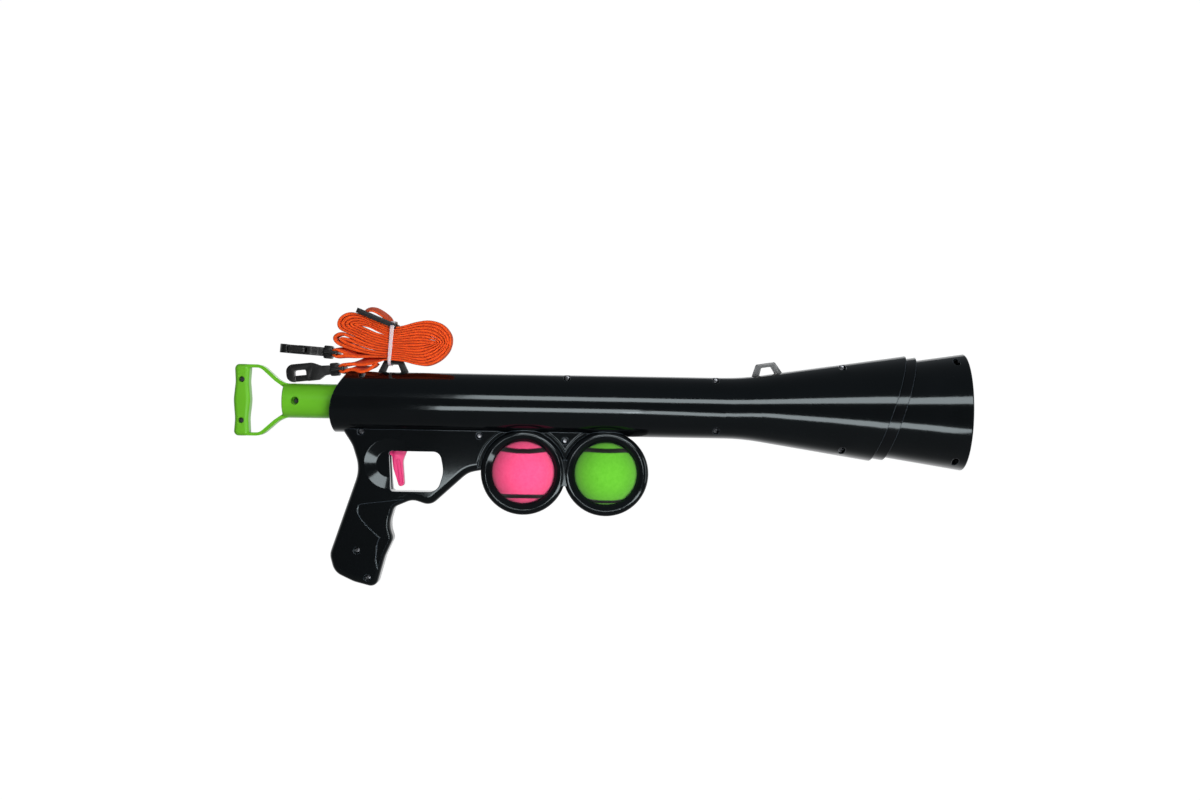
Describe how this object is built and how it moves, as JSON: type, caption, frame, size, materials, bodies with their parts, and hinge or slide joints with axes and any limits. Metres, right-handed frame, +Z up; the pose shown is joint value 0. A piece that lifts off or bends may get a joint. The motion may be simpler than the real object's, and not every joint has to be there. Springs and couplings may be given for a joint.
{
  "type": "dog ball launcher",
  "caption": "Hand-held dog ball launcher: barrel flaring to a wide muzzle, sprung pull-back tube with a D handle, pistol grip with trigger, rings with spare balls, folded webbing strap.",
  "frame": {"origin": "centre of the muzzle's mouth, in the plane of its rim", "axes": "+X along the barrel towards the muzzle, +Z up, -Y towards the launcher's right side, from which the screws go in"},
  "size_m": [0.6974, 0.1118, 0.2654],
  "materials": {
    "shell": "injection-moulded ABS, near-black with a blue cast, glossy",
    "band": "injection-moulded ABS, black, glossy",
    "green_plastic": "bright green moulded plastic",
    "pink_plastic": "pink moulded plastic",
    "black_plastic": "black moulded acetal, satin",
    "grey_plastic": "grey moulded plastic, satin",
    "white_plastic": "off-white acetal, plain",
    "clear_plastic": "translucent pinkish plastic",
    "black_rubber": "moulded rubber, matt",
    "ball_rubber": "pressed ball rubber",
    "pink_felt": "needled felt, pink",
    "green_felt": "needled felt, lime green",
    "orange_webbing": "flat woven webbing, orange",
    "steel": "blackened steel screws and plain steel pins",
    "spring_steel": "drawn spring steel wire"
  },
  "bodies": {
    "casing": {"right_shell": "shell", "left_shell": "shell", "shell_screws": "steel", "muzzle_band": "band", "muzzle_collar_right": "shell", "muzzle_collar_left": "shell", "collar_screws": "steel", "ball_grabber": "black_rubber", "rear_bush": "white_plastic", "front_bush": "white_plastic", "spring_anchor": "white_plastic", "anchor_pin": "steel", "launch_spring": "spring_steel", "trigger_pin": "steel", "sear_pin": "steel", "sear_spring": "spring_steel", "front_strap_loop": "grey_plastic", "rear_strap_loop": "black_plastic", "pink_ball_felt": "pink_felt", "pink_ball_core": "ball_rubber", "green_ball_felt": "green_felt", "green_ball_core": "ball_rubber", "strap_hank": "orange_webbing", "strap_slider": "black_plastic", "hank_tie": "clear_plastic", "strap_end_upper": "orange_webbing", "strap_end_lower": "orange_webbing", "upper_hook_base": "black_plastic", "lower_hook_base": "black_plastic"},
    "plunger": {"draw_tube": "green_plastic", "plunger_head": "white_plastic", "plunger_pad": "black_rubber", "handle_half_right": "green_plastic", "handle_half_left": "green_plastic", "handle_screws": "steel", "tube_screw": "steel"},
    "trigger": {"trigger": "pink_plastic"},
    "sear": {"sear": "white_plastic"},
    "upper_hook": {"upper_hook": "black_plastic"},
    "upper_gate": {"upper_hook_gate": "black_plastic"},
    "lower_hook": {"lower_hook": "black_plastic"},
    "lower_gate": {"lower_hook_gate": "black_plastic"}
  },
  "joints": [
    {"name": "draw", "type": "slide", "parent": "casing", "child": "plunger", "axis": [-1, 0, 0], "range_m": [0, 0.15], "stiffness_N_per_m": 650, "springref_m": -0.02, "deforming": ["launch_spring"]},
    {"name": "trigger_pull", "type": "hinge", "parent": "casing", "child": "trigger", "pos_m": [-0.541, 0, -0.037], "axis": [0, 1, 0], "range_deg": [0, 8], "stiffness_Nm_per_rad": 0.3, "springref_deg": -11.46},
    {"name": "sear_pivot", "type": "hinge", "parent": "casing", "child": "sear", "pos_m": [-0.496, 0, -0.0295], "axis": [0, 1, 0], "range_deg": [-7.3, 0], "stiffness_Nm_per_rad": 0.15, "springref_deg": 8.59, "deforming": ["sear_spring"]},
    {"name": "upper_hook_swivel", "type": "hinge", "parent": "casing", "child": "upper_hook", "pos_m": [-0.612, 0, 0.0473], "axis": [0.9976, 0, -0.0698], "continuous": true},
    {"name": "upper_gate_hinge", "type": "hinge", "parent": "upper_hook", "child": "upper_gate", "pos_m": [-0.63195, -0.0055, 0.0487], "axis": [-0.0698, 0, -0.9976], "range_deg": [0, 8], "stiffness_Nm_per_rad": 0.02, "springref_deg": -14.32},
    {"name": "lower_hook_swivel", "type": "hinge", "parent": "casing", "child": "lower_hook", "pos_m": [-0.6055, 0, 0.03019], "axis": [0.9938, 0, 0.1115], "continuous": true},
    {"name": "lower_gate_hinge", "type": "hinge", "parent": "lower_hook", "child": "lower_gate", "pos_m": [-0.62476, 0, 0.02249], "axis": [0, 1, 0], "range_deg": [0, 8], "stiffness_Nm_per_rad": 0.02, "springref_deg": -14.32}
  ],
  "couplings": [
    {"joint": "sear_pivot", "follows": "trigger_pull", "ratio": -0.9}
  ]
}
